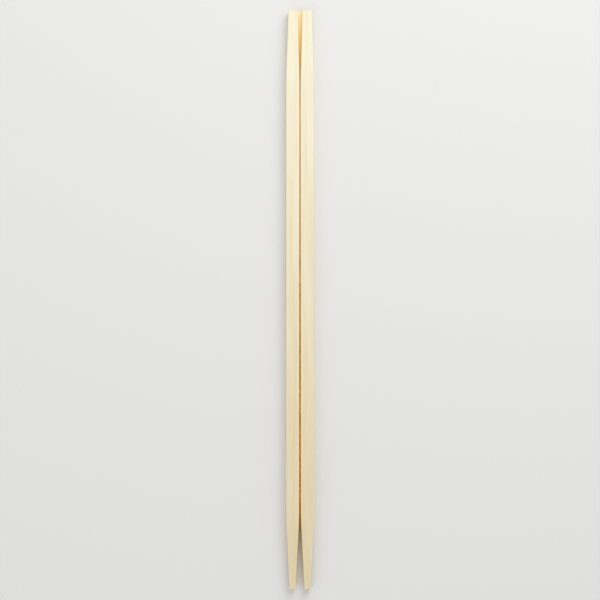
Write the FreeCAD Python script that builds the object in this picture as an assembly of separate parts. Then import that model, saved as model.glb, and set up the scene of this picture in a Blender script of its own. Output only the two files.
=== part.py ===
"""A joined pair of disposable wooden chopsticks, thinned towards both ends.

One blank of wood carries both sticks. They are slit apart from the tips, and stay joined at the head by
a thin web that snaps when the pair is pulled apart. The pair lies flat: X runs across it, Y runs along
it with the joined head at +Y, and Z is up. The origin is on the table, below the middle of the pair.
"""
import FreeCAD, Part
import os

NODE = "chopstick_pair"

# The whole pair, in mm
LENGTH = 210.0            # head end to tips
PAIR_WIDTH = 10.2         # over both sticks, in the parallel middle
THICKNESS = 4.6           # underside to top face, in the parallel middle

# Head, where the sticks stay joined
HEAD_TAPER = 24.0         # head end to the shoulder of the parallel middle
HEAD_PAIR_WIDTH = 8.6
HEAD_THICKNESS = 3.4
HEAD_GAP = 1.6            # between the two sticks, at the head end

# Tips, where the sticks are free
TIP_TAPER = 27.0          # tips to the shoulder of the parallel middle
TIP_PAIR_WIDTH = 7.8
TIP_THICKNESS = 2.6
TIP_GAP = 3.3             # between the two sticks, at the tips

# Splitting line, from the grooves over and under the web to the open slit
GROOVE_WIDTH = 0.20       # between its lips, at the head shoulder
SLIT_WIDTH = 0.42         # between its lips, at the tip shoulder
GROOVE_SLOPE = 0.06       # by which each wall slopes in below its lip
GROOVE_DEPTH = 0.7        # of that slope
WEB_LENGTH = 52.0         # head end to the blind end of the slit
WEB_THICKNESS = 1.6       # wood left between the upper and the lower groove

# Broken edges and eased shoulders
EDGE_BEVEL = 0.4          # along the outer edges
END_BEVEL = 0.3           # round each stick's head end and tip
SHOULDER_EASE = 4.0       # to each side of a shoulder
SHOULDER_STEPS = 5        # facets that ease one shoulder

TIP_Y = -LENGTH / 2
TIP_SHOULDER_Y = TIP_Y + TIP_TAPER
HEAD_Y = LENGTH / 2
HEAD_SHOULDER_Y = HEAD_Y - HEAD_TAPER
SLIT_END_Y = HEAD_Y - WEB_LENGTH
MIDDLE_Z = THICKNESS / 2


def eased_ramp(distance):
    """Distance past a shoulder, or 0 before it, with the bend between the two eased by a parabola."""
    if abs(distance) >= SHOULDER_EASE:
        return max(distance, 0.0)
    return (distance + SHOULDER_EASE) ** 2 / (4 * SHOULDER_EASE)


def size_at(y, at_head, at_head_shoulder, at_tip_shoulder, at_tip):
    """Size at y of what runs straight from the tips to each shoulder in turn and on to the head end."""
    tip_slope = (at_tip_shoulder - at_tip) / TIP_TAPER
    middle_slope = (at_head_shoulder - at_tip_shoulder) / (HEAD_SHOULDER_Y - TIP_SHOULDER_Y)
    head_slope = (at_head - at_head_shoulder) / HEAD_TAPER
    size = at_tip + tip_slope * (y - TIP_Y)
    size += (middle_slope - tip_slope) * eased_ramp(y - TIP_SHOULDER_Y)
    size += (head_slope - middle_slope) * eased_ramp(y - HEAD_SHOULDER_Y)
    return size


def stick_section(y, inset=0.0):
    """Bevelled section of the right-hand stick at y, with its four sides moved in by the inset."""
    inner = size_at(y, HEAD_GAP, GROOVE_WIDTH, SLIT_WIDTH, TIP_GAP) / 2 + inset
    outer = size_at(y, HEAD_PAIR_WIDTH, PAIR_WIDTH, PAIR_WIDTH, TIP_PAIR_WIDTH) / 2 - inset
    half_height = size_at(y, HEAD_THICKNESS, THICKNESS, THICKNESS, TIP_THICKNESS) / 2 - inset
    upper_half = [
        (outer, half_height - EDGE_BEVEL),
        (outer - EDGE_BEVEL, half_height),
        (inner, half_height),
        (inner - GROOVE_SLOPE, half_height - GROOVE_DEPTH),
    ]
    lower_half = [(x, -z) for x, z in reversed(upper_half)]
    return [FreeCAD.Vector(x, y, MIDDLE_Z + z) for x, z in upper_half + lower_half]


def flat_face(*corners):
    """Plane face with these corners."""
    return Part.Face(Part.makePolygon([*corners, corners[0]]))


def loft(sections):
    """Solid through sections whose matching sides are parallel, so that all its faces are flat."""
    faces = [flat_face(*sections[0]), flat_face(*sections[-1])]
    for near, far in zip(sections, sections[1:]):
        for i in range(len(near)):
            faces.append(flat_face(near[i - 1], near[i], far[i], far[i - 1]))
    return Part.makeSolid(Part.makeShell(faces))


def shoulder_stations(shoulder_y):
    """Places along the length where the facets of an eased shoulder meet."""
    step = 2 * SHOULDER_EASE / SHOULDER_STEPS
    return [shoulder_y - SHOULDER_EASE + i * step for i in range(SHOULDER_STEPS + 1)]


def make_stick():
    """Right-hand stick, lofted from tip to head end through its sections."""
    stations = [TIP_Y + END_BEVEL]
    stations += shoulder_stations(TIP_SHOULDER_Y)
    stations += shoulder_stations(HEAD_SHOULDER_Y)
    stations += [HEAD_Y - END_BEVEL]
    sections = [stick_section(TIP_Y, END_BEVEL)]
    sections += [stick_section(y) for y in stations]
    sections += [stick_section(HEAD_Y, END_BEVEL)]
    return loft(sections)


def make_web():
    """Thin strip of wood, halfway up the pair, that keeps the two sticks joined at the head."""
    stick_middle_x = (HEAD_GAP + HEAD_PAIR_WIDTH) / 4
    corner = FreeCAD.Vector(-stick_middle_x, SLIT_END_Y, MIDDLE_Z - WEB_THICKNESS / 2)
    return Part.makeBox(2 * stick_middle_x, WEB_LENGTH, WEB_THICKNESS, corner)


def make_pair():
    """Both sticks and the web between them, as the one piece of wood that they are."""
    right_stick = make_stick()
    left_stick = right_stick.mirror(FreeCAD.Vector(), FreeCAD.Vector(1, 0, 0))
    return right_stick.fuse([left_stick, make_web()]).removeSplitter()


def main():
    """Write the pair as one STEP file."""
    os.makedirs("parts", exist_ok=True)
    make_pair().exportStep(f"parts/{NODE}.step")


main()
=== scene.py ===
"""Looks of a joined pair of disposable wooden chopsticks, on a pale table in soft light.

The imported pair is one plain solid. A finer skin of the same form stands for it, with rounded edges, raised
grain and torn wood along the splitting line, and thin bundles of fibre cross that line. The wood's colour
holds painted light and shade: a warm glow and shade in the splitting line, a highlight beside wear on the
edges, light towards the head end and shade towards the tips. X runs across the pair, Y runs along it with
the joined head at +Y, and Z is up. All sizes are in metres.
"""

import logging
import math
from collections.abc import Callable, Sequence
from dataclasses import dataclass
from enum import Enum, IntEnum
from functools import partial
from itertools import pairwise

import bpy
import numpy as np
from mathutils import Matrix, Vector


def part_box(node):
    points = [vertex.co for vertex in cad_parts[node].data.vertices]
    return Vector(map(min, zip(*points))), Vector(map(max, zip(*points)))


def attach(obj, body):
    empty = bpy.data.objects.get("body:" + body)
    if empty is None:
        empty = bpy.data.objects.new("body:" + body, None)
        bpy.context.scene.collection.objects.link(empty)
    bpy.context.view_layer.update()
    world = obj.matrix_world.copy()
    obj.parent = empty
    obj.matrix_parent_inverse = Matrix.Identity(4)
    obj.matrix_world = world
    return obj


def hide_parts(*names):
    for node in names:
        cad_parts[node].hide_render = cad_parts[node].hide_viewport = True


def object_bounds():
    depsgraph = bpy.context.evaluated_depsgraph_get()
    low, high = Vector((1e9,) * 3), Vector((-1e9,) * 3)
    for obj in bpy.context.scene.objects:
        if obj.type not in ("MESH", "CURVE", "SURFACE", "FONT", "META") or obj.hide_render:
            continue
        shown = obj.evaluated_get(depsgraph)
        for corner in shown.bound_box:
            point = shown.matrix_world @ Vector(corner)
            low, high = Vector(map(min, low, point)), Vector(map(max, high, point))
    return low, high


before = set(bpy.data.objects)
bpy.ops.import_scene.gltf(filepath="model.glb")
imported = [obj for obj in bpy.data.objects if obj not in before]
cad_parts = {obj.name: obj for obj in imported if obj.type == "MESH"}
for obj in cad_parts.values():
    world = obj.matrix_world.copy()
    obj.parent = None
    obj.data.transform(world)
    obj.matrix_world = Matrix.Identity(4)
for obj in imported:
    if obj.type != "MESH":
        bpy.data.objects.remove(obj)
CAD_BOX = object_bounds()

MM = 0.001
BELLY_PEAK = 4 / 27  # highest value of (1 - x) ** 2 * x
BODY = "root"
STATIONS = ("Tip", "Tip Shoulder", "Head Shoulder", "Head")

Colour = tuple[float, float, float]
Point = tuple[float, float, float]
Range = tuple[float, float]
Socket = bpy.types.NodeSocket
Value = float | Socket
Triple = Sequence[float] | Socket

log = logging.getLogger("chopsticks")


class Mark(Enum):
    """Kinds of surface that the finish treats apart, each an attribute of the mesh from 0 to 1."""

    # Slit walls, where the finish paints a warm glow and shade and the skin is torn rougher.
    SLIT_WALL = "slit_wall"
    # How far the head's gap has opened, where the finish paints the slit paler: painted light.
    OPENING = "opening"
    END_GRAIN = "end_grain"
    # Rounded edges, which the finish paints paler: wear and a painted highlight.
    ARRIS = "arris"


class Plug(Enum):
    """Kinds of input and output that a node group can have."""

    NUMBER = "NodeSocketFloat"
    COUNT = "NodeSocketInt"
    SHAPE = "NodeSocketGeometry"
    FINISH = "NodeSocketMaterial"


@dataclass(frozen=True)
class Grain:
    """One layer of smooth noise in the wood, with blotches that are drawn out along it."""

    across: float
    along: float
    octaves: float
    seed: float = 0.0


class Sheet:
    """A node tree that is written with short calls, one node or sum at a time."""

    def __init__(self, tree: bpy.types.NodeTree) -> None:
        """Start writing on a tree."""
        self.tree = tree

    def add(self, kind: str, inputs: dict | None = None, **settings: object) -> bpy.types.NodeOutputs:
        """Add one node.

        Args:
            kind: Blender's name for the kind of node.
            inputs: A number, triple or socket for each input that is set, by its name or place.
            **settings: The node's own properties.

        Returns:
            The new node's outputs.
        """
        node = self.tree.nodes.new(kind)
        for name, setting in settings.items():
            setattr(node, name, setting)
        for key, value in (inputs or {}).items():
            if isinstance(value, Socket):
                self.tree.links.new(value, node.inputs[key])
            else:
                node.inputs[key].default_value = value
        return node.outputs

    def math(self, operation: str, *values: Value) -> Socket:
        """Result of one sum of numbers, by Blender's name for it."""
        return self.add("ShaderNodeMath", dict(enumerate(values)), operation=operation)[0]

    def vector(self, operation: str, *values: Triple) -> Socket:
        """Result of one sum of triples, by Blender's name for it."""
        return self.add("ShaderNodeVectorMath", dict(enumerate(values)), operation=operation)[0]

    def scale(self, triple: Socket, factor: Value) -> Socket:
        """A triple times a number."""
        return self.add("ShaderNodeVectorMath", {0: triple, "Scale": factor}, operation="SCALE")[0]

    def length(self, triple: Socket) -> Socket:
        """Length of a triple."""
        return self.add("ShaderNodeVectorMath", {0: triple}, operation="LENGTH")["Value"]

    def join(self, x: Value, y: Value, z: Value) -> Socket:
        """One triple from its X, Y and Z."""
        return self.add("ShaderNodeCombineXYZ", {0: x, 1: y, 2: z})[0]

    def noise(self, place: Socket, grain: Grain, seed: Value | None = None) -> Socket:
        """Smooth noise between 0 and 1.

        Args:
            place: The point at which the noise is read.
            grain: The layer of noise.
            seed: Number that picks the pattern, if it isn't the layer's own.

        Returns:
            The noise.
        """
        blotch = (grain.across, grain.along, grain.across)
        inputs = {"Vector": self.vector("DIVIDE", place, blotch), "W": grain.seed if seed is None else seed,
                  "Scale": 1.0, "Detail": grain.octaves}
        return self.add("ShaderNodeTexNoise", inputs, noise_dimensions="4D")[0]

    def step(self, value: Socket, span: Range, results: Range = (0.0, 1.0)) -> Socket:
        """Smooth step from the first result to the second, while a value crosses a span."""
        inputs = dict(enumerate((value, *span, *results)))
        return self.add("ShaderNodeMapRange", inputs, interpolation_type="SMOOTHSTEP")[0]

    def blend(self, share: Socket, first: Triple, second: Triple) -> Socket:
        """Mix of two colours by the share of the second, on the sockets that the node has for vectors."""
        return self.add("ShaderNodeMix", {0: share, 4: first, 5: second}, data_type="VECTOR")[1]

    def dress(self, shape: Socket, finish: Socket) -> Socket:
        """End a geometry tree: smooth the shape, make its instances real and give it its material.

        Args:
            shape: The shape.
            finish: The material.

        Returns:
            The finished shape.
        """
        smooth = self.add("GeometryNodeSetShadeSmooth", {"Geometry": shape})[0]
        real = self.add("GeometryNodeRealizeInstances", {"Geometry": smooth})[0]
        return self.add("GeometryNodeSetMaterial", {"Geometry": real, "Material": finish})[0]


class Group:
    """A Geometry Nodes group with named inputs and outputs, and the sheet that its nodes are on."""

    def __init__(self, name: str, inputs: dict[str, Plug], outputs: dict[str, Plug]) -> None:
        """Start an empty group.

        Args:
            name: The group's name.
            inputs: Name and kind of each input.
            outputs: Name and kind of each output.
        """
        self.tree = bpy.data.node_groups.new(name, "GeometryNodeTree")
        for way, plugs in (("INPUT", inputs), ("OUTPUT", outputs)):
            for label, plug in plugs.items():
                self.tree.interface.new_socket(label, in_out=way, socket_type=plug.value)
        self.sheet = Sheet(self.tree)
        self.given = self.sheet.add("NodeGroupInput")

    def give(self, results: dict[str, Socket]) -> None:
        """Send a socket to each of the group's outputs, by name."""
        self.sheet.add("NodeGroupOutput", results)

    def run(self, piece: bpy.types.Object, inputs: dict[str, object]) -> None:
        """Run the group over a piece's mesh, and leave the result as its plain mesh.

        Args:
            piece: The object whose mesh goes in and is replaced by what comes out.
            inputs: The group's inputs apart from the mesh, by name.
        """
        modifier = piece.modifiers.new(self.tree.name, "NODES")
        modifier.node_group = self.tree
        for item in self.tree.interface.items_tree:
            if item.name in inputs:
                modifier[item.identifier] = inputs[item.name]
        depsgraph = bpy.context.evaluated_depsgraph_get()
        evaluated = piece.evaluated_get(depsgraph)
        raw = piece.data
        mesh = bpy.data.meshes.new_from_object(evaluated, preserve_all_data_layers=True, depsgraph=depsgraph)
        piece.modifiers.remove(modifier)
        piece.data = mesh
        bpy.data.meshes.remove(raw)
        mesh.name = piece.name


def add_object(name: str, data: bpy.types.ID) -> bpy.types.Object:
    """Add an object to the scene.

    Args:
        name: The object's name.
        data: Its mesh, camera or light.

    Returns:
        The new object.
    """
    item = bpy.data.objects.new(name, data)
    bpy.context.scene.collection.objects.link(item)
    return item


@dataclass(frozen=True)
class AspenFinish:
    """Pale, unvarnished aspen, planed smooth on its faces and torn a little where knives slit it.

    Its colour also holds painted light and shade: a warm glow and shade in the slit, a highlight on the
    edges beside their wear, light towards the head end and shade towards the tips.
    """

    early_wood: Colour = (0.885, 0.782, 0.535)
    late_wood: Colour = (0.808, 0.668, 0.395)
    # Painted warm glow and shade in the slit, turning to paler painted light where the head's gap opens.
    painted_slit_glow: Colour = (0.985, 0.555, 0.045)
    painted_opening_glow: Colour = (0.850, 0.600, 0.180)
    painted_open_gap_light: Colour = (0.940, 0.820, 0.500)
    end_wood: Colour = (0.690, 0.555, 0.340)
    # Paler edges: partly wear, partly a painted highlight where the rounded edges catch the light.
    burnished_and_highlit_wood: Colour = (0.905, 0.835, 0.655)
    # Painted light and shade along the length: the head end is painted lighter and bluer, the tips darker.
    tip_painted_shade: Colour = (0.93, 0.91, 0.90)
    head_painted_light: Colour = (1.045, 1.115, 1.25)
    painted_light_reach: float = 100.0 * MM

    pith: Point = (-34.0 * MM, 0.0, -60.0 * MM)
    ring_spacing: float = 1.6 * MM
    ring_wander: float = 2.4 * MM
    ring_rise: Range = (0.15, 0.88)
    ring_fall: Range = (0.86, 1.0)
    ring_share: float = 0.25
    end_ring_fineness: float = 3.0
    end_ring_shade: float = 0.08

    wander_grain: Grain = Grain(12 * MM, 70 * MM, 2.0, seed=3.1)
    mottle_grain: Grain = Grain(3.5 * MM, 26 * MM, 2.0, seed=5.3)
    mottle_span: Range = (0.3, 0.75)
    mottle_share: float = 0.40
    fibre_grain: Grain = Grain(0.16 * MM, 22 * MM, 3.0, seed=11.7)
    fibre_span: Range = (0.25, 0.75)
    fibre_shades: Range = (0.965, 1.03)
    pore_grain: Grain = Grain(0.07 * MM, 1.3 * MM, 1.0, seed=8.9)
    pore_span: Range = (0.62, 0.74)
    pore_shade: float = 0.07

    # Share of the paler edge colour: wear and a painted highlight.
    burnish_and_highlight: float = 0.4
    # Where the slit's painted glow turns to painted light as the gap opens at the head end.
    opening_glow_span: Range = (0.1, 0.5)
    open_gap_light_power: float = 3.5
    end_share: float = 0.7
    relief: float = 0.02 * MM
    relief_strength: float = 0.6
    pore_depth: float = 0.8
    roughness: float = 0.62
    roughness_spread: float = 0.12
    gloss: float = 0.3

    def rings(self, sheet: Sheet, place: Socket) -> Socket:
        """Late wood of the growth rings, from 0 between rings to 1 at a ring's dark line.

        Args:
            sheet: The material's sheet.
            place: The point on the wood.

        Returns:
            The share of late wood.
        """
        wander = sheet.noise(place, self.wander_grain)
        away = sheet.vector("SUBTRACT", place, self.pith)
        radius = sheet.length(sheet.vector("MULTIPLY", away, (1.0, 0.0, 1.0)))
        wandered = sheet.math("MULTIPLY_ADD", wander, self.ring_wander, radius)
        part = sheet.math("FRACT", sheet.math("DIVIDE", wandered, self.ring_spacing))
        rise = sheet.step(part, self.ring_rise)
        fall = sheet.step(part, self.ring_fall, (1.0, 0.0))
        return sheet.math("MULTIPLY", rise, fall)

    def colour(self, sheet: Sheet, place: Socket, late: Socket, marks: dict[Mark, Socket]) -> Socket:
        """Colour of the wood with its painted light and shade, but without its fine light and shade.

        Args:
            sheet: The material's sheet.
            place: The point on the wood.
            late: Share of late wood in the growth rings.
            marks: How far each kind of surface holds at the point.

        Returns:
            The colour.
        """
        mottle = sheet.noise(place, self.mottle_grain)
        mottle = sheet.step(mottle, self.mottle_span, (0.0, self.mottle_share))
        late_share = sheet.math("MULTIPLY_ADD", late, self.ring_share, mottle)
        colour = sheet.blend(late_share, self.early_wood, self.late_wood)
        # Painted light towards the head end and painted shade towards the tips, as the light falls along the
        # pair.
        along = sheet.add("ShaderNodeSeparateXYZ", {0: place})["Y"]
        painted_light_drift = sheet.step(along, (-self.painted_light_reach, self.painted_light_reach))
        colour = sheet.vector("MULTIPLY", colour, sheet.blend(painted_light_drift, self.tip_painted_shade, self.head_painted_light))
        # Edges painted paler: wear and a painted highlight.
        burnish_and_highlight_share = sheet.math("MULTIPLY", marks[Mark.ARRIS], self.burnish_and_highlight)
        colour = sheet.blend(burnish_and_highlight_share, colour, self.burnished_and_highlit_wood)
        # Painted warm glow and shade in the slit, with painted light where the gap opens at the head end.
        opening = marks[Mark.OPENING]
        cut = sheet.blend(sheet.step(opening, self.opening_glow_span), self.painted_slit_glow, self.painted_opening_glow)
        cut = sheet.blend(sheet.math("POWER", opening, self.open_gap_light_power), cut, self.painted_open_gap_light)
        colour = sheet.blend(marks[Mark.SLIT_WALL], colour, cut)
        end = sheet.math("MULTIPLY", marks[Mark.END_GRAIN], self.end_share)
        return sheet.blend(end, colour, self.end_wood)

    def shade(self, sheet: Sheet, fibre: Socket, pores: Socket, late: Socket, end_grain: Socket) -> Socket:
        """Fine light and shade of the wood, as a factor of its colour.

        Args:
            sheet: The material's sheet.
            fibre: Noise of the fibres.
            pores: How far the point lies in a pore.
            late: Share of late wood in the growth rings.
            end_grain: How far the point lies on end grain.

        Returns:
            The factor.
        """
        fibre_shade = sheet.step(fibre, self.fibre_span, self.fibre_shades)
        shade = sheet.math("MULTIPLY_ADD", pores, -self.pore_shade, fibre_shade)
        ring_lines = sheet.math("POWER", late, self.end_ring_fineness)
        end_rings = sheet.math("MULTIPLY", ring_lines, end_grain)
        return sheet.math("MULTIPLY_ADD", end_rings, -self.end_ring_shade, shade)

    def material(self) -> bpy.types.Material:
        """Make the finish.

        Returns:
            The material, whose pattern lies in the space of the object.
        """
        material = bpy.data.materials.new("aspen_wood")
        material.use_nodes = True
        material.node_tree.nodes.clear()
        sheet = Sheet(material.node_tree)
        place = sheet.add("ShaderNodeTexCoord")["Object"]
        marks = {mark: sheet.add("ShaderNodeAttribute", attribute_name=mark.value)["Fac"] for mark in Mark}

        late = self.rings(sheet, place)
        fibre = sheet.noise(place, self.fibre_grain)
        pores = sheet.step(sheet.noise(place, self.pore_grain), self.pore_span)
        colour = sheet.scale(self.colour(sheet, place, late, marks),
                             self.shade(sheet, fibre, pores, late, marks[Mark.END_GRAIN]))

        height = sheet.math("MULTIPLY_ADD", pores, -self.pore_depth, fibre)
        bump = sheet.add("ShaderNodeBump",
                         {"Strength": self.relief_strength, "Distance": self.relief, "Height": height})[0]
        smoothest = self.roughness - self.roughness_spread / 2
        rough = sheet.math("MULTIPLY_ADD", fibre, self.roughness_spread, smoothest)
        shader = sheet.add("ShaderNodeBsdfPrincipled", {
            "Base Color": colour, "Roughness": rough, "Normal": bump,
            "Specular IOR Level": self.gloss})[0]
        sheet.add("ShaderNodeOutputMaterial", {"Surface": shader})
        return material


@dataclass(frozen=True)
class Taper:
    """One size of the pair, straight from the tips to each shoulder in turn and on to the head end."""

    at_tip: float
    at_tip_shoulder: float
    at_head_shoulder: float
    at_head: float

    def inputs(self, name: str) -> dict[str, float]:
        """The taper's sizes, by a node group's names for its inputs, which all begin with this name."""
        sizes = (self.at_tip, self.at_tip_shoulder, self.at_head_shoulder, self.at_head)
        return {f"{name} At {station}": size for station, size in zip(STATIONS, sizes)}


@dataclass(frozen=True)
class Ring:
    """One ring of the skin: its place along the length, its inset and its share of end grain."""

    place: float
    inset: float = 0.0
    end_grain: float = 0.0


class Term(IntEnum):
    """Columns of a vertex's recipe: shares of the sizes at its place, what is added, and its marks."""

    SIDE = 0
    GAP = 1
    WIDTH = 2
    THICKNESS = 3
    SHIFT_X = 4
    SHIFT_Z = 5
    PLACE = 6
    SLIT_WALL = 7
    OPENING = 8
    END_GRAIN = 9
    ARRIS = 10


def recipe(**terms: float) -> np.ndarray:
    """Recipe of one vertex.

    Args:
        **terms: The terms that aren't 0, named in small letters.

    Returns:
        The recipe, with one number per term.
    """
    row = np.zeros(len(Term))
    for name, value in terms.items():
        row[Term[name.upper()]] = value
    return row


def line(start: np.ndarray, end: np.ndarray, segments: int) -> np.ndarray:
    """Recipes along a straight line, both ends included."""
    return np.linspace(start, end, segments + 1)


def chain(*runs: np.ndarray) -> np.ndarray:
    """Recipes along runs that follow each other, with each joint kept once."""
    return np.vstack([runs[0], *[run[1:] for run in runs[1:]]])


class Blank:
    """Faces of a skin whose vertices say how they follow from the sizes.

    A patch of faces is a grid of vertex numbers, with rows along one way and columns along the other.
    Patches share the vertices of their common borders, so the skin they make is closed.
    """

    def __init__(self) -> None:
        """Start with no vertices and no faces."""
        self.table = np.zeros((0, len(Term)))
        self.faces: list[np.ndarray] = []

    def vertices(self, recipes: np.ndarray) -> np.ndarray:
        """Add vertices.

        Args:
            recipes: One recipe per vertex, in an array of any number of rows and columns.

        Returns:
            The new vertices' numbers, in rows and columns as the recipes are.
        """
        first = len(self.table)
        self.table = np.vstack([self.table, recipes.reshape(-1, len(Term))])
        return np.arange(first, len(self.table)).reshape(recipes.shape[:-1])

    def patch(self, grid: np.ndarray, turned: bool) -> None:
        """Add the faces of a grid.

        Args:
            grid: Vertex numbers in rows and columns.
            turned: Whether the faces look the other way than the columns' way crossed with the rows' way.
        """
        corners = [grid[:-1, :-1], grid[:-1, 1:], grid[1:, 1:], grid[1:, :-1]]
        if turned:
            corners.reverse()
        self.faces.append(np.stack(corners, axis=-1).reshape(-1, 4))

    def bridge(self, left: np.ndarray, right: np.ndarray, segments: int) -> np.ndarray:
        """Lay a grid with straight rows between two lines of vertices.

        Args:
            left: Vertex numbers along the left-hand line.
            right: Vertex numbers along the right-hand line.
            segments: Faces across the grid.

        Returns:
            The grid's vertex numbers.
        """
        rows = np.linspace(self.table[left], self.table[right], segments + 1, axis=1)
        return np.hstack([left[:, None], self.vertices(rows[:, 1:-1]), right[:, None]])

    def fill(self, bottom: np.ndarray, right: np.ndarray, top: np.ndarray, left: np.ndarray) -> np.ndarray:
        """Lay a grid in a four-sided hole, by sliding each side towards the one across from it.

        Args:
            bottom: Vertex numbers along the lower side, from left to right.
            right: Vertex numbers up the right-hand side.
            top: Vertex numbers along the upper side, from left to right.
            left: Vertex numbers up the left-hand side.

        Returns:
            The grid's vertex numbers, with its rows from bottom to top.
        """
        grid = np.zeros((len(left), len(bottom)), int)
        grid[0], grid[-1] = bottom, top
        grid[:, 0], grid[:, -1] = left, right
        known = self.table[grid]
        across = np.linspace(0, 1, len(bottom))[None, :, None]
        up = np.linspace(0, 1, len(left))[:, None, None]
        sides = known[:, :1] * (1 - across) + known[:, -1:] * across
        ends = known[:1] * (1 - up) + known[-1:] * up
        low = known[0, 0] * (1 - across) + known[0, -1] * across
        high = known[-1, 0] * (1 - across) + known[-1, -1] * across
        inside = sides + ends - low * (1 - up) - high * up
        grid[1:-1, 1:-1] = self.vertices(inside[1:-1, 1:-1])
        return grid

    def mesh(self, name: str) -> bpy.types.Mesh:
        """Make the mesh, with every vertex at its place along Y and its recipe in attributes.

        Args:
            name: The mesh's name.

        Returns:
            The mesh.
        """
        places = np.zeros((len(self.table), 3))
        places[:, 1] = self.table[:, Term.PLACE]
        mesh = bpy.data.meshes.new(name)
        mesh.from_pydata(places.tolist(), [], np.vstack(self.faces).tolist())
        for term in Term:
            attribute = mesh.attributes.new(term.name.lower(), "FLOAT", "POINT")
            attribute.data.foreach_set("value", self.table[:, term].astype(np.float32))
        return mesh


@dataclass
class ChopstickPair:
    """Both sticks of the pair and the web that joins them at the head, in one closed skin."""

    wood: bpy.types.Material
    node: str = "chopstick_pair"
    name: str = "joined_chopsticks"

    head_taper: float = 24.0 * MM
    tip_taper: float = 27.0 * MM
    shoulder_ease: float = 4.0 * MM
    head_pair_width: float = 8.6 * MM
    tip_pair_width: float = 7.8 * MM
    head_thickness: float = 3.4 * MM
    tip_thickness: float = 2.6 * MM
    head_gap: float = 1.6 * MM
    head_gap_swell: float = 0.20 * MM
    head_gap_reach: float = 38.0 * MM
    head_shoulder_gap: float = 0.20 * MM
    tip_shoulder_gap: float = 0.42 * MM
    tip_gap: float = 3.3 * MM
    wall_slope: float = 0.06 * MM
    slope_depth: float = 0.7 * MM
    web_length: float = 52.0 * MM
    web_thickness: float = 1.6 * MM
    edge_round: float = 0.4 * MM
    lip_round: float = 0.06 * MM
    end_round: float = 0.3 * MM

    # Painted warm glow on the faces beside the slit: how far it reaches and its share at each shoulder.
    painted_lip_glow_width: float = 0.35 * MM
    bruise_at_head: float = 0.32
    bruise_at_tip: float = 0.95
    planed_share: float = 0.85
    planed_reach: float = 0.5

    raised_grain: Grain = Grain(0.8 * MM, 16 * MM, 2.0)
    planing_wave: Grain = Grain(5 * MM, 34 * MM, 1.0)
    torn_grain: Grain = Grain(0.7 * MM, 2.2 * MM, 2.0)
    slit_sway: Grain = Grain(MM, 38 * MM, 1.0)
    grain_depth: float = 0.016 * MM
    wave_depth: float = 0.040 * MM
    torn_depth: float = 0.045 * MM
    slit_wander: float = 0.06 * MM
    seed: float = 7.0

    spacing: float = 0.37 * MM
    round_faces: int = 4
    face_columns: int = 10
    slope_rows: int = 2
    wall_rows: int = 2
    web_rows: int = 4
    web_columns: int = 4
    sharp_angle: float = math.radians(50)

    def __post_init__(self) -> None:
        """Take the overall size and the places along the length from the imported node."""
        low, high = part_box(self.node)
        self.pair_width = high.x - low.x
        self.thickness = high.z - low.z
        self.middle_height = (low.z + high.z) / 2
        self.tip_place = low.y
        self.tip_shoulder = low.y + self.tip_taper
        self.slit_end = high.y - self.web_length
        self.head_shoulder = high.y - self.head_taper
        self.head_place = high.y

    @property
    def columns(self) -> int:
        """Faces along a stick's upper or lower side, from the middle of one round to that of the next."""
        return self.face_columns + self.round_faces

    @property
    def rows(self) -> int:
        """Faces up a stick's inner or outer side, from the middle of one round to that of the next."""
        return 2 * (self.slope_rows + self.wall_rows) + self.web_rows + self.round_faces

    @property
    def web_start(self) -> int:
        """Place in a section of the vertex that the web's upper face meets."""
        return 2 * self.columns + self.rows + (self.rows - self.web_rows) // 2

    def corner(self, size: Term, radius: float, inset: float, painted_lip_glow: float = 0.0) -> np.ndarray:
        """Recipes round one upper edge of the right-hand stick, as a quarter circle.

        Args:
            size: The size that the edge's side wall follows, which is the gap for the slit's lip.
            radius: Radius of the round.
            inset: How far the edge is set in from the stick's full section.
            painted_lip_glow: Share of the slit's painted warm glow on the lip where it meets the face.

        Returns:
            The recipes, anticlockwise.
        """
        is_lip = size is Term.GAP
        inward = 1.0 if is_lip else -1.0
        first = math.pi / 2 if is_lip else 0.0
        rows = []
        for turn in np.linspace(0.0, 1.0, self.round_faces + 1):
            angle = first + turn * math.pi / 2
            row = recipe(side=1.0, thickness=1.0, arris=4 * turn * (1 - turn))
            row[size] = 1.0
            row[Term.SHIFT_X] = inward * (inset + radius) + radius * math.cos(angle)
            row[Term.SHIFT_Z] = radius * (math.sin(angle) - 1.0) - inset
            # The slit's painted warm glow, from the lip's share at the face up to full inside the slit.
            row[Term.SLIT_WALL] = painted_lip_glow + (1 - painted_lip_glow) * turn if is_lip else 0.0
            rows.append(row)
        return np.array(rows)

    def section(self, inset: float, joined: bool, painted_lip_glow: float) -> np.ndarray:
        """Recipes round the right-hand stick, anticlockwise from the middle of its lower inner edge.

        Args:
            inset: How far the section is set in at a rounded end.
            joined: Whether the web runs through this place.
            painted_lip_glow: Share of the slit's painted warm glow on the lips where they meet the faces.

        Returns:
            One recipe per vertex of the closed section, without its place.
        """
        flip = np.ones(len(Term))
        flip[[Term.THICKNESS, Term.SHIFT_Z]] = -1.0
        half = self.round_faces // 2
        wall = recipe(side=1.0, gap=1.0, shift_x=inset - self.wall_slope, slit_wall=1.0)
        knee = wall + recipe(thickness=1.0, shift_z=-self.slope_depth)
        if joined:
            web_top = wall + recipe(shift_z=self.web_thickness / 2)
        else:
            web_top = wall + recipe(thickness=self.web_thickness / self.thickness)
        outer_top = self.corner(Term.WIDTH, self.edge_round, inset)
        lip_top = self.corner(Term.GAP, self.lip_round, inset, painted_lip_glow)
        outer_bottom, lip_bottom = outer_top[::-1] * flip, lip_top[::-1] * flip
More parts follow.
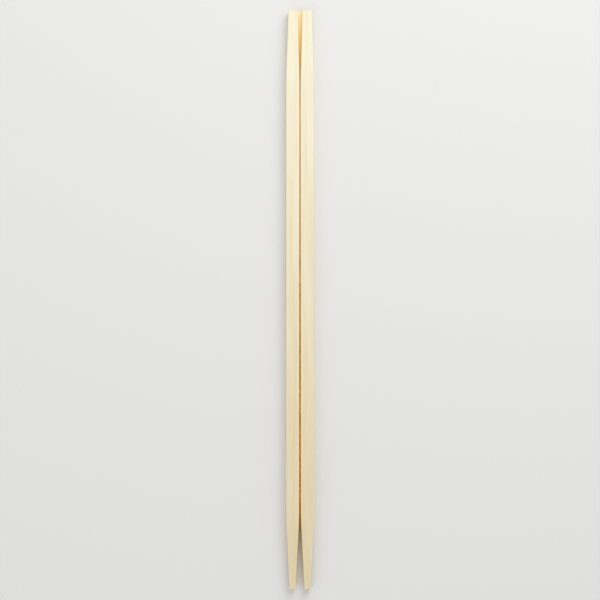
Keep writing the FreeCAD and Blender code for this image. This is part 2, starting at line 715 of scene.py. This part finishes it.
        # Where the painted warm glow beside the slit fades out on the face.
        brink = lip_top[0] + recipe(shift_x=self.painted_lip_glow_width, slit_wall=-painted_lip_glow)
        upper_wall = chain(line(lip_top[-1], knee, self.slope_rows), line(knee, web_top, self.wall_rows))
        web_wall = line(web_top, web_top * flip, self.web_rows)
        inner_wall = chain(upper_wall, web_wall, upper_wall[::-1] * flip)
        outer_wall = line(outer_bottom[-1], outer_top[0], len(inner_wall) - 1)
        top = chain(line(outer_top[-1], brink, self.face_columns - 1), line(brink, lip_top[0], 1))
        return chain(lip_bottom[half:], top[::-1] * flip, outer_bottom, outer_wall, outer_top, top,
                     lip_top, inner_wall, lip_bottom[:half + 1])[:-1]

    def rings(self) -> list[Ring]:
        """Rings of the skin's vertices, from tips to head end, with one where the slit ends.

        Returns:
            The rings.
        """
        tip_round = [Ring(self.tip_place + self.end_round * (1 - math.cos(angle)),
                          self.end_round * (1 - math.sin(angle)), math.cos(angle))
                     for angle in np.linspace(0, math.pi / 2, self.round_faces + 1)]
        head_round = [Ring(self.tip_place + self.head_place - ring.place, ring.inset, ring.end_grain)
                      for ring in reversed(tip_round)]
        rings = list(tip_round)
        for start, end in ((tip_round[-1].place, self.slit_end), (self.slit_end, head_round[0].place)):
            count = round((end - start) / self.spacing)
            rings += [Ring(place) for place in np.linspace(start, end, count + 1)[1:]]
        return rings + head_round[1:]

    def painted_lip_glow(self, place: float) -> float:
        """Painted warm glow on the slit's lips at a place, from the head shoulder to the tip shoulder."""
        shoulders = (self.tip_shoulder, self.head_shoulder)
        return float(np.interp(place, shoulders, (self.bruise_at_tip, self.bruise_at_head)))

    def opening(self, place: float) -> float:
        """How far the gap has opened at a place, from 0 where its swell starts to 1 at the head end."""
        return max(0.0, 1 - (self.head_place - place) / self.head_gap_reach)

    def planed(self, place: float) -> float:
        """How smoothly the gap's walls are planed at a place, from the tip shoulder to the tips."""
        towards_tip = max(0.0, 1 - (place - self.tip_place) / self.tip_taper)
        return self.planed_share * min(1.0, towards_tip / self.planed_reach)

    def stick(self, rings: list[Ring]) -> np.ndarray:
        """Recipes of the whole right-hand stick.

        Args:
            rings: The rings of its skin.

        Returns:
            One recipe per vertex, with a row of them for each ring.
        """
        rows = []
        for ring in rings:
            row = self.section(ring.inset, ring.place >= self.slit_end, self.painted_lip_glow(ring.place))
            row[:, Term.PLACE] = ring.place
            row[:, Term.END_GRAIN] = ring.end_grain
            row[:, Term.OPENING] = self.opening(ring.place)
            # Towards the tips this takes off the torn grain and also the slit's painted warm glow.
            row[:, Term.SLIT_WALL] *= 1 - self.planed(ring.place)
            rows.append(row)
        return np.array(rows)

    def lay_stick(self, blank: Blank, recipes: np.ndarray, joint: int, is_left: bool) -> np.ndarray:
        """Lay one stick's skin, with a band left open where the web joins it.

        Args:
            blank: The blank that takes the faces.
            recipes: The stick's recipes, with a row for each ring.
            joint: Number of the ring at which the web starts.
            is_left: Whether this is the left-hand stick, whose sections run clockwise.

        Returns:
            Vertex numbers of the open band, with columns from its upper to its lower edge.
        """
        section = blank.vertices(recipes)
        closed = np.hstack([section, section[:, :1]])
        web_end = self.web_start + self.web_rows
        outside = np.hstack([closed[joint:, web_end:-1], closed[joint:, :self.web_start + 1]])
        blank.patch(closed[:joint + 1], turned=not is_left)
        blank.patch(outside, turned=not is_left)
        corners = np.cumsum([0, self.columns, self.rows, self.columns, self.rows])
        for end, turned in ((0, is_left), (-1, not is_left)):
            bottom, outer, top, inner = [closed[end, first:last + 1] for first, last in pairwise(corners)]
            blank.patch(blank.fill(bottom, outer, top[::-1], inner[::-1]), turned)
        return section[joint:, self.web_start:web_end + 1]

    def lay_web(self, blank: Blank, left: np.ndarray, right: np.ndarray) -> None:
        """Lay the web's skin between the two sticks.

        Args:
            blank: The blank that takes the faces.
            left: Vertex numbers of the left-hand stick's open band.
            right: Vertex numbers of the right-hand stick's open band.
        """
        top = blank.bridge(left[:, 0], right[:, 0], self.web_columns)
        bottom = blank.bridge(left[:, -1], right[:, -1], self.web_columns)
        blank.patch(top, turned=False)
        blank.patch(bottom, turned=True)
        for end, turned in ((0, False), (-1, True)):
            grid = blank.fill(bottom[end], right[end, ::-1], top[end], left[end, ::-1])
            blank.patch(grid, turned)

    def blank(self) -> bpy.types.Mesh:
        """Lay out the skin's vertices and faces.

        Returns:
            The mesh, still without width and height.
        """
        rings = self.rings()
        joint = [ring.place for ring in rings].index(self.slit_end)
        mirror = np.ones(len(Term))
        mirror[Term.SIDE] = -1.0
        recipes = self.stick(rings)
        blank = Blank()
        left = self.lay_stick(blank, recipes * mirror, joint, is_left=True)
        right = self.lay_stick(blank, recipes, joint, is_left=False)
        self.lay_web(blank, left, right)
        return blank.mesh(self.name)

    def tapers(self) -> dict[Term, Taper]:
        """The sizes that change along the length, by their terms in a recipe."""
        return {
            Term.GAP: Taper(self.tip_gap, self.tip_shoulder_gap, self.head_shoulder_gap, self.head_gap),
            Term.WIDTH: Taper(self.tip_pair_width, self.pair_width, self.pair_width, self.head_pair_width),
            Term.THICKNESS: Taper(self.tip_thickness, self.thickness, self.thickness, self.head_thickness),
        }

    def numbers(self) -> dict[str, float]:
        """The sizes that the pair's node group takes.

        Returns:
            The sizes, by the names of the inputs.
        """
        numbers = {
            "Tip Place": self.tip_place,
            "Tip Shoulder Place": self.tip_shoulder,
            "Head Shoulder Place": self.head_shoulder,
            "Head Place": self.head_place,
            "Ease": self.shoulder_ease,
            "Gap Swell": self.head_gap_swell,
            "Swell Reach": self.head_gap_reach,
            "Middle Height": self.middle_height,
            "Grain Depth": self.grain_depth,
            "Wave Depth": self.wave_depth,
            "Torn Depth": self.torn_depth,
            "Slit Wander": self.slit_wander,
            "Seed": self.seed,
        }
        for term, taper in self.tapers().items():
            numbers |= taper.inputs(term.name.title())
        return numbers

    @staticmethod
    def eased_ramp(sheet: Sheet, past: Socket, ease: Socket) -> Socket:
        """Distance past a shoulder, or 0 before it, with the bend between the two eased by a parabola.

        Args:
            sheet: The sheet that takes the nodes.
            past: Signed distance past the shoulder.
            ease: How far the bend reaches to each side of the shoulder.

        Returns:
            The eased distance.
        """
        beyond = sheet.math("MAXIMUM", sheet.math("SUBTRACT", past, ease), 0.0)
        within = sheet.math("MINIMUM", sheet.math("ADD", past, ease), sheet.math("MULTIPLY", ease, 2.0))
        root = sheet.math("MAXIMUM", within, 0.0)
        bent = sheet.math("DIVIDE", sheet.math("MULTIPLY", root, root), sheet.math("MULTIPLY", ease, 4.0))
        return sheet.math("ADD", beyond, bent)

    def eased_size(self) -> Group:
        """Make the node group for one size at a place along the length.

        Returns:
            The group, whose output is the size.
        """
        labels = ["Place", "Ease", *[f"At {station}" for station in STATIONS],
                  *[f"{station} Place" for station in STATIONS]]
        group = Group("Eased Size", dict.fromkeys(labels, Plug.NUMBER), {"Size": Plug.NUMBER})
        sheet, given = group.sheet, group.given
        size, last_slope = given["At Tip"], None
        for start, end in pairwise(STATIONS):
            rise = sheet.math("SUBTRACT", given[f"At {end}"], given[f"At {start}"])
            run = sheet.math("SUBTRACT", given[f"{end} Place"], given[f"{start} Place"])
            slope = sheet.math("DIVIDE", rise, run)
            past = sheet.math("SUBTRACT", given["Place"], given[f"{start} Place"])
            if last_slope is None:
                size = sheet.math("MULTIPLY_ADD", slope, past, size)
            else:
                bend = sheet.math("SUBTRACT", slope, last_slope)
                size = sheet.math("MULTIPLY_ADD", bend, self.eased_ramp(sheet, past, given["Ease"]), size)
            last_slope = slope
        group.give({"Size": size})
        return group

    @staticmethod
    def swell(group: Group, place: Socket) -> Socket:
        """How much wider the head's gap is than between straight walls, so that it bellies like a lens.

        Args:
            group: The pair's node group.
            place: The place along the length.

        Returns:
            The extra width, which fades out at the head end and at its reach.
        """
        sheet, given = group.sheet, group.given
        part = sheet.math("DIVIDE", sheet.math("SUBTRACT", given["Head Place"], place), given["Swell Reach"])
        rest = sheet.math("MAXIMUM", sheet.math("SUBTRACT", 1.0, part), 0.0)
        belly = sheet.math("MULTIPLY", sheet.math("MULTIPLY", rest, rest), part)
        return sheet.math("MULTIPLY", sheet.math("MULTIPLY", belly, 1 / BELLY_PEAK), given["Gap Swell"])

    def place(self, group: Group, terms: dict[Term, Socket]) -> Socket:
        """Place of each vertex, worked out from its recipe and the sizes.

        Args:
            group: The pair's node group.
            terms: The recipe's columns.

        Returns:
            The place.
        """
        sheet, given = group.sheet, group.given
        eased = self.eased_size()
        along = {"Place": terms[Term.PLACE], "Ease": given["Ease"]}
        along |= {label: given[label] for label in self.numbers() if label.endswith(" Place")}
        halves = {}
        for term, taper in self.tapers().items():
            name = term.name.title()
            sizes = {label.removeprefix(f"{name} "): given[label] for label in taper.inputs(name)}
            size = sheet.add("GeometryNodeGroup", along | sizes, node_tree=eased.tree)[0]
            if term is Term.GAP:
                size = sheet.math("ADD", size, self.swell(group, terms[Term.PLACE]))
            halves[term] = sheet.math("MULTIPLY", terms[term], sheet.math("DIVIDE", size, 2.0))

        from_middle = sheet.math("ADD", halves[Term.GAP], halves[Term.WIDTH])
        from_middle = sheet.math("ADD", from_middle, terms[Term.SHIFT_X])
        middle_line = sheet.join(0.0, terms[Term.PLACE], 0.0)
        sway = sheet.math("SUBTRACT", sheet.noise(middle_line, self.slit_sway, given["Seed"]), 0.5)
        wander = sheet.math("MULTIPLY", sheet.math("MULTIPLY", sway, given["Slit Wander"]), terms[Term.GAP])
        x = sheet.math("MULTIPLY_ADD", terms[Term.SIDE], from_middle, wander)
        height = sheet.math("ADD", halves[Term.THICKNESS], terms[Term.SHIFT_Z])
        return sheet.join(x, terms[Term.PLACE], sheet.math("ADD", height, given["Middle Height"]))

    def relief(self, group: Group, terms: dict[Term, Socket]) -> Socket:
        """Depth of the grain below the skin, as a number that is never above 0.

        Args:
            group: The pair's node group.
            terms: The recipe's columns.

        Returns:
            The depth.
        """
        sheet, given = group.sheet, group.given
        place = sheet.add("GeometryNodeInputPosition")[0]
        grain, wave, torn = [sheet.noise(place, layer, given["Seed"])
                             for layer in (self.raised_grain, self.planing_wave, self.torn_grain)]
        cut = sheet.math("MAXIMUM", terms[Term.SLIT_WALL], terms[Term.END_GRAIN])
        depth = sheet.math("MULTIPLY", grain, given["Grain Depth"])
        depth = sheet.math("MULTIPLY_ADD", wave, given["Wave Depth"], depth)
        depth = sheet.math("MULTIPLY_ADD", sheet.math("MULTIPLY", torn, cut), given["Torn Depth"], depth)
        return sheet.math("MULTIPLY", depth, -1.0)

    def form(self) -> Group:
        """Make the Geometry Nodes that give the blank its sizes and its grain.

        Returns:
            The group, whose output is the finished skin.
        """
        plugs = {"Blank": Plug.SHAPE, **dict.fromkeys(self.numbers(), Plug.NUMBER), "Finish": Plug.FINISH}
        group = Group("Chopstick Pair", plugs, {"Skin": Plug.SHAPE})
        sheet, given = group.sheet, group.given
        terms = {term: sheet.add("GeometryNodeInputNamedAttribute", {"Name": term.name.lower()})[0]
                 for term in Term}
        shaped = sheet.add("GeometryNodeSetPosition", {
            "Geometry": given["Blank"], "Position": self.place(group, terms)})[0]
        normal = sheet.add("GeometryNodeInputNormal")[0]
        inward = sheet.scale(normal, self.relief(group, terms))
        carved = sheet.add("GeometryNodeSetPosition", {"Geometry": shaped, "Offset": inward})[0]
        group.give({"Skin": sheet.dress(carved, given["Finish"])})
        return group

    def build(self) -> bpy.types.Object:
        """Make the pair's skin and put it in the place of the plain solid.

        Returns:
            The finished piece.
        """
        piece = add_object(self.name, self.blank())
        self.form().run(piece, {**self.numbers(), "Finish": self.wood})
        kept = {mark.value for mark in Mark}
        for term in Term:
            if term.name.lower() not in kept:
                piece.data.attributes.remove(piece.data.attributes[term.name.lower()])
        piece.data.set_sharp_from_angle(angle=self.sharp_angle)
        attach(piece, BODY)
        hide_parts(self.node)
        return piece


class Trait(IntEnum):
    """What is drawn by lot for each bundle of fibre, and what is added to the seed for it."""

    START = 0
    SIDE = 1
    FACE = 2
    REACH = 3
    LENGTH = 4
    DEPTH = 5
    GIRTH = 6


@dataclass
class TornFibres:
    """Thin bundles of fibre that still cross the splitting line, near the upper and the lower face."""

    wood: bpy.types.Material
    pair: ChopstickPair
    name: str = "torn_fibres"

    count: int = 220
    thickness: float = 0.07 * MM
    girths: Range = (0.5, 1.4)
    thinning: float = 0.6
    lengths: Range = (0.9 * MM, 2.6 * MM)
    depths: Range = (0.08 * MM, 0.45 * MM)
    reaches: Range = (0.4, 1.15)
    root: float = 0.06 * MM
    root_share: float = 0.2
    sag: float = 0.05 * MM
    # Share of the slit's painted warm glow on the fibres.
    rawness: float = 0.8
    seed: int = 23
    segments: int = 10
    sides: int = 6

    def counts(self) -> dict[str, int]:
        """The whole numbers that the fibres' node group takes, by the names of its inputs."""
        return {"Count": self.count, "Seed": self.seed, "Segments": self.segments, "Sides": self.sides}

    def numbers(self) -> dict[str, float]:
        """The sizes that the fibres' node group takes.

        Returns:
            The sizes, by the names of the inputs.
        """
        return {
            "Start": self.pair.tip_shoulder + self.pair.shoulder_ease,
            "End": self.pair.head_place - self.pair.head_gap_reach,
            "Gap At Start": self.pair.tip_shoulder_gap,
            "Gap At End": self.pair.head_shoulder_gap,
            "Middle Height": self.pair.middle_height,
            "Half Thickness": self.pair.thickness / 2,
            "Fibre Thickness": self.thickness,
            "Shortest": self.lengths[0],
            "Longest": self.lengths[1],
            "Shallowest": self.depths[0],
            "Deepest": self.depths[1],
            "Root": self.root,
            "Sag": self.sag,
            "Rawness": self.rawness,
        }

    @staticmethod
    def draw(sheet: Sheet, seed: Socket, bundle: Socket, trait: Trait, low: Value, high: Value) -> Socket:
        """Draw one trait of each bundle by lot.

        Args:
            sheet: The sheet of the fibres' tree.
            seed: The tree's seed.
            bundle: Number of the bundle.
            trait: The trait.
            low: Its lowest value.
            high: Its highest value.

        Returns:
            The trait's value.
        """
        own_seed = sheet.math("ADD", seed, float(trait))
        inputs = {"ID": bundle, "Seed": own_seed, 2: low, 3: high}
        return sheet.add("FunctionNodeRandomValue", inputs)[1]

    def form(self) -> Group:
        """Make the Geometry Nodes that draw every bundle as a thin, tapering strand.

        Returns:
            The group, whose output is all the strands.
        """
        plugs = {"Blank": Plug.SHAPE, **dict.fromkeys(self.counts(), Plug.COUNT),
                 **dict.fromkeys(self.numbers(), Plug.NUMBER), "Finish": Plug.FINISH}
        group = Group("Torn Fibres", plugs, {"Fibres": Plug.SHAPE})
        sheet, given = group.sheet, group.given
        straight = sheet.add("GeometryNodeCurvePrimitiveLine")[0]
        points = sheet.math("ADD", given["Segments"], 1.0)
        fine = sheet.add("GeometryNodeResampleCurve", {"Curve": straight, "Count": points})[0]
        copies = sheet.add("GeometryNodeDuplicateElements", {"Geometry": fine, "Amount": given["Count"]},
                           domain="SPLINE")
        draw = partial(self.draw, sheet, given["Seed"], copies["Duplicate Index"])
        along = sheet.add("GeometryNodeSplineParameter")["Factor"]
        laid = sheet.add("GeometryNodeSetPosition", {
            "Geometry": copies["Geometry"], "Position": self.path(group, draw, along)})[0]

        taper = sheet.math("MULTIPLY_ADD", along, -self.thinning, 1.0)
        girth = sheet.math("MULTIPLY", taper, draw(Trait.GIRTH, *self.girths))
        half_thickness = sheet.math("MULTIPLY", given["Fibre Thickness"], 0.5)
        profile = sheet.add("GeometryNodeCurvePrimitiveCircle", {
            "Resolution": given["Sides"], "Radius": 1.0})[0]
        strands = sheet.add("GeometryNodeCurveToMesh", {
            "Curve": laid, "Profile Curve": profile,
            "Scale": sheet.math("MULTIPLY", half_thickness, girth), "Fill Caps": True})[0]
        # The fibres take the slit's painted warm glow at this share.
        raw = sheet.add("GeometryNodeStoreNamedAttribute", {
            "Geometry": strands, "Name": Mark.SLIT_WALL.value, "Value": given["Rawness"]})[0]
        group.give({"Fibres": sheet.dress(raw, given["Finish"])})
        return group

    def path(self, group: Group, draw: Callable[..., Socket], along: Socket) -> Socket:
        """Place of each point of a strand, from its root in one wall to its end across the gap.

        Args:
            group: The fibres' node group.
            draw: Draws one trait of each bundle, from its lowest and highest value.
            along: How far along its strand the point is, from 0 to 1.

        Returns:
            The place.
        """
        sheet, given = group.sheet, group.given
        start = draw(Trait.START, given["Start"], given["End"])
        share = sheet.math("DIVIDE", sheet.math("SUBTRACT", start, given["Start"]),
                           sheet.math("SUBTRACT", given["End"], given["Start"]))
        widening = sheet.math("SUBTRACT", given["Gap At End"], given["Gap At Start"])
        gap = sheet.math("MULTIPLY_ADD", widening, share, given["Gap At Start"])
        half_gap = sheet.math("MULTIPLY", gap, 0.5)
        crossing = sheet.math("MULTIPLY", sheet.step(along, (0.0, 1.0)), draw(Trait.REACH, *self.reaches))
        inside = sheet.math("MULTIPLY_ADD", crossing, -2.0, 1.0)
        in_wall = sheet.step(along, (0.0, self.root_share), (1.0, 0.0))
        rooted = sheet.math("MULTIPLY", given["Root"], in_wall)
        side = sheet.math("SIGN", draw(Trait.SIDE, -1.0, 1.0))
        x = sheet.math("MULTIPLY", side, sheet.math("MULTIPLY_ADD", half_gap, inside, rooted))

        length = draw(Trait.LENGTH, given["Shortest"], given["Longest"])
        y = sheet.math("MULTIPLY_ADD", along, length, start)

        arch = sheet.math("SINE", sheet.math("MULTIPLY", along, math.pi))
        depth = draw(Trait.DEPTH, given["Shallowest"], given["Deepest"])
        depth = sheet.math("ADD", depth, sheet.math("MULTIPLY", arch, given["Sag"]))
        face = sheet.math("SIGN", draw(Trait.FACE, -1.0, 1.0))
        from_middle = sheet.math("SUBTRACT", given["Half Thickness"], depth)
        z = sheet.math("MULTIPLY_ADD", face, from_middle, given["Middle Height"])
        return sheet.join(x, y, z)

    def build(self) -> bpy.types.Object:
        """Make the bundles of fibre.

        Returns:
            The finished piece.
        """
        piece = add_object(self.name, bpy.data.meshes.new(self.name))
        self.form().run(piece, {**self.counts(), **self.numbers(), "Finish": self.wood})
        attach(piece, BODY)
        return piece


@dataclass(frozen=True)
class TableFinish:
    """Matt table top, nearly white under the pair and greyer further off, where the key lamp is close.

    The grey further off is painted shade, which dims the key lamp's pool of light on the table.
    """

    colour: Colour = (0.80, 0.80, 0.795)
    far_painted_shade: Colour = (0.56, 0.56, 0.557)
    reach: Range = (0.16, 0.50)
    roughness: float = 0.7
    gloss: float = 0.2

    def material(self) -> bpy.types.Material:
        """Make the finish.

        Returns:
            The material.
        """
        material = bpy.data.materials.new("table_top")
        material.use_nodes = True
        sheet = Sheet(material.node_tree)
        place = sheet.add("ShaderNodeTexCoord")["Object"]
        # Painted shade: the table turns greyer away from the pair, dimming the key lamp's pool of light.
        share = sheet.step(sheet.length(place), self.reach)
        shader = material.node_tree.nodes["Principled BSDF"]
        sheet.tree.links.new(sheet.blend(share, self.colour, self.far_painted_shade), shader.inputs["Base Color"])
        shader.inputs["Roughness"].default_value = self.roughness
        shader.inputs["Specular IOR Level"].default_value = self.gloss
        return material


@dataclass(frozen=True)
class Lamp:
    """One square lamp that faces the middle of the pair."""

    name: str
    place: Point
    side: float
    power: float

    def hang(self) -> None:
        """Hang the lamp in its place."""
        data = bpy.data.lights.new(self.name, "AREA")
        data.size = self.side
        data.energy = self.power
        lamp = add_object(self.name, data)
        lamp.location = self.place
        lamp.rotation_euler = (-Vector(self.place)).to_track_quat("-Z", "Y").to_euler()


@dataclass
class Studio:
    """Table, camera and soft light round the pair."""

    table_side: float = 3.0
    view_height: float = 217.0 * MM
    lens: float = 110.0
    sensor: float = 36.0
    sky: float = 0.65
    key: Lamp = Lamp("key", (0.18, 0.48, 0.44), side=0.50, power=2.25)
    fill: Lamp = Lamp("fill", (-0.45, -0.30, 0.60), side=0.60, power=0.6)

    def table(self) -> None:
        """Lay the table top under the pair."""
        half = self.table_side / 2
        mesh = bpy.data.meshes.new("table")
        corners = [(x * half, y * half, 0.0) for x, y in ((-1, -1), (1, -1), (1, 1), (-1, 1))]
        mesh.from_pydata(corners, [], [(0, 1, 2, 3)])
        mesh.materials.append(TableFinish().material())
        table = add_object("table", mesh)

    def camera(self) -> None:
        """Hang the camera straight above the pair, with the head end at the top of its view."""
        low, high = CAD_BOX
        middle = (low + high) / 2
        data = bpy.data.cameras.new("camera")
        data.lens = self.lens
        data.sensor_width = self.sensor
        camera = add_object("camera", data)
        distance = self.view_height * self.lens / self.sensor
        camera.location = (middle.x, middle.y, high.z + distance)
        bpy.context.scene.camera = camera

    def light(self) -> None:
        """Light the pair softly from all round, with a key lamp off its head end, to the right."""
        world = bpy.data.worlds.new("studio")
        world.use_nodes = True
        background = world.node_tree.nodes["Background"]
        background.inputs["Color"].default_value = (1.0, 1.0, 1.0, 1.0)
        background.inputs["Strength"].default_value = self.sky
        bpy.context.scene.world = world
        self.key.hang()
        self.fill.hang()
        bpy.context.scene.view_settings.view_transform = "Standard"

    def build(self) -> None:
        """Set up the whole studio."""
        self.table()
        self.camera()
        self.light()


def main() -> None:
    """Build the pair and its studio, and report each piece."""
    logging.basicConfig(level=logging.INFO, format="%(name)s: %(message)s")
    wood = AspenFinish().material()
    pair = ChopstickPair(wood)
    for piece in (pair.build(), TornFibres(wood, pair).build()):
        log.info("%s has %d faces", piece.name, len(piece.data.polygons))
    Studio().build()
    log.info("studio is set up")


if __name__ == "__main__":
    main()
